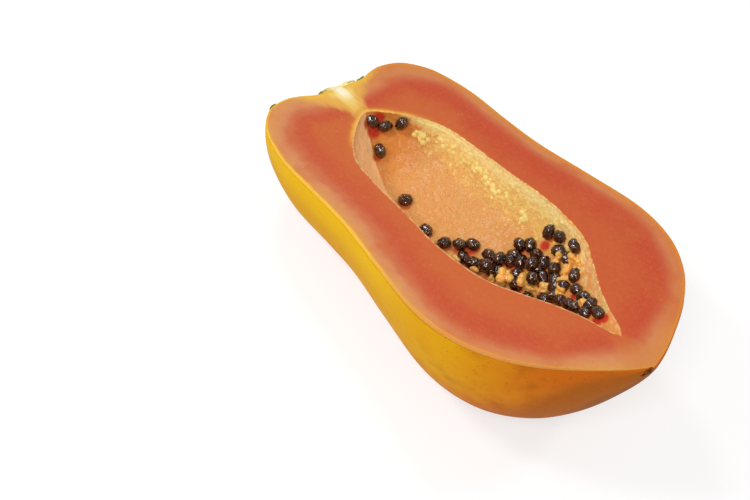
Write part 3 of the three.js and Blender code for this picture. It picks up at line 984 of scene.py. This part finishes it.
def buildBlossomScar():  # a narrow shrivelled streak
    into = inward(skinPoint, *blossomScar["place"])
    spin = Quaternion((0, 0, 1), math.radians(blossomScar["turn"]))
    turn = Vector((0, 0, 1)).rotation_difference(into) @ spin
    bpy.ops.object.select_all(action='DESELECT')
    bpy.ops.mesh.primitive_uv_sphere_add(segments=48, ring_count=28, radius=1)
    piece = newPiece("blossom_scar")
    points = readPoints(piece)
    height, number, shift = blossomScar["waves"]
    points[:, 1] *= 1 + height * np.sin(number * points[:, 0] + shift)
    outer = points[:, 2] < 0
    crease = np.exp(-(points[:, 1] ** 2) / blossomScar["creaseWidth"])
    points[:, 2] += blossomScar["crease"] * crease * outer
    writePoints(piece, points)
    centre = Vector(skinPoint(*blossomScar["place"]))
    piece.data.transform(Matrix.LocRotScale(centre, turn, Vector(blossomScar["half"])))
    ruffle(piece, blossomScar["foldSize"], blossomScar["foldHeight"])
    return piece


def blossomScarMaterial():
    g = Graph("dry blossom scar")
    fine = g.noise(g.place(), 1.6, 3)
    colour = g.blend(blossomScar["dark"], blossomScar["darkEdge"], fine.ramp(0.4, 0.65))
    return g.finish(colour, 0.6 + 0.2 * fine, fine, 0.0004, Specular_IOR_Level=0.1)


scraps = {
    # y from, y to and height of each flap of green skin
    "flaps": [(-10.6, -6.6, 1.1), (4.6, 9.0, 0.8), (9.6, 14.6, 0.5), (-35.5, -31.0, 0.35)],
    "reach": 3.5,  # how far each goes down the skin
    "fray": (0.35, 1.0), "wave": 0.25, "curl": 0.15, "lift": 0.1,
    "columns": 22, "rows": 7, "thickness": 0.22, "foldSize": 1.2, "foldHeight": 0.35, "random": 90,
    "endSteps": 80,  # the steps of the fruit's outline that they can lie on
    "green": (128, 150, 52), "dry": (176, 160, 74), "dark": (82, 104, 36),
}


def buildScrap(index, start, end, height):  # a torn flap, rooted on the skin and frayed at its edge
    rng = np.random.default_rng(scraps["random"] + index)
    bpy.ops.object.select_all(action='DESELECT')
    bpy.ops.mesh.primitive_grid_add(x_subdivisions=scraps["columns"], y_subdivisions=scraps["rows"], size=2)
    flap = newPiece(f"scrap_{index}")
    points = readPoints(flap)
    across, rise = (points[:, 0] + 1) / 2, (points[:, 1] + 1) / 2
    column = np.round(across * scraps["columns"]).astype(int)
    rounded = np.sin(np.pi * np.clip(across * 0.9 + 0.05, 0, 1)) ** 0.5
    fray = rng.uniform(*scraps["fray"], scraps["columns"] + 2)[column] * rounded
    y = start + (end - start) * across + scraps["wave"] * np.sin(9 * across + index)
    z = -scraps["reach"] * (1 - rise) + scraps["curl"] * fray * rise
    skin = fruitProfile[:scraps["endSteps"]]
    x = np.interp(np.hypot(y, z), skin[:, 1], skin[:, 0]) - scraps["lift"] - height * fray * rise ** 2
    writePoints(flap, np.column_stack([x, y, z]))
    finishWith(flap, 'SOLIDIFY', thickness=scraps["thickness"], offset=0)
    return flap


def buildScraps():
    piece = joined([buildScrap(i, *size) for i, size in enumerate(scraps["flaps"])], "stem_scraps")
    ruffle(piece, scraps["foldSize"], scraps["foldHeight"])
    return piece


def scrapMaterial():
    g = Graph("torn green skin")
    medium, fine = g.noise(g.place(), 0.7, 3), g.noise(g.place(), 2.4, 3)
    colour = g.layers(scraps["green"],
                      (scraps["dry"], medium.ramp(0.45, 0.65)),
                      (scraps["dark"], fine.ramp(0.5, 0.75) * 0.7))
    return g.finish(colour, 0.6 + 0.2 * fine, fine, 0.0003, Specular_IOR_Level=0.3)


placeCamera()
print("camera placed")

pieces = [  # how each is built, its material slot and its material
    (buildFlesh, "flesh", fleshMaterial),
    (buildRind, "rind", rindMaterial),
    (buildStemScar, "flesh", stemScarMaterial),
    (buildBlossomScar, "rind", blossomScarMaterial),
    (buildScraps, "stem_scrap", scrapMaterial),
    (buildSeeds, "seed", seedMaterial),
    (buildPulp, "pulp", pulpMaterial),
]
for build, slotName, material in pieces:
    piece = build()
    storePlace(piece)
    piece.data.materials.append(material())
    layDown(piece)
    pick(piece)
    bpy.ops.object.shade_smooth_by_angle(angle=math.radians(60))
    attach(piece, "root")
    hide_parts("papaya_half")
    print(piece.name, "made:", len(piece.data.polygons), "faces")

studio = {
    "floor": (170, 170, 170), "floorGlow": 0.66, "floorSize": 8, "floorGap": 0.0002, "sky": 0.34,
    "aim": (0, 0, 0.04),
    "lights": [  # name, place, diameter, power
        ("front right", (0.30, -0.55, 0.70), 0.22, 2.8),
        ("front left", (-0.35, -0.60, 0.75), 0.22, 3.1),
        ("back right", (0.25, 0.45, 0.75), 0.16, 1.2),
        ("back left", (-0.55, 0.05, 0.75), 0.16, 1.4),
    ],
}


def buildFloor():
    bpy.ops.object.select_all(action='DESELECT')
    bpy.ops.mesh.primitive_plane_add(size=studio["floorSize"], location=(0, 0, -studio["floorGap"]))
    floor = newPiece("floor")
    g = Graph("white ground")
    shader = g.add("ShaderNodeBsdfPrincipled", {}, {
        "Base Color": paint(studio["floor"]), "Roughness": 0.9, "Specular IOR Level": 0.1,
        "Emission Color": (1, 1, 1, 1), "Emission Strength": studio["floorGlow"]})
    g.add("ShaderNodeOutputMaterial", {}, {"Surface": shader})
    floor.data.materials.append(g.material)


def addLight(name, start, size, power):
    data = bpy.data.lights.new(name, 'AREA')
    data.shape, data.size, data.energy = 'DISK', size, power
    light = linkNew(name, data)
    light.location = start
    light.rotation_euler = (Vector(studio["aim"]) - Vector(start)).to_track_quat('-Z', 'Y').to_euler()


def lightSky():
    world = bpy.data.worlds.new("studio")
    bpy.context.scene.world = world
    world.use_nodes = True
    sky = world.node_tree.nodes["Background"]
    sky.inputs["Color"].default_value = (1, 1, 1, 1)
    sky.inputs["Strength"].default_value = studio["sky"]
    bpy.context.scene.view_settings.view_transform = 'Standard'


buildFloor()
for light in studio["lights"]:
    addLight(*light)
lightSky()
print("floor and light set")
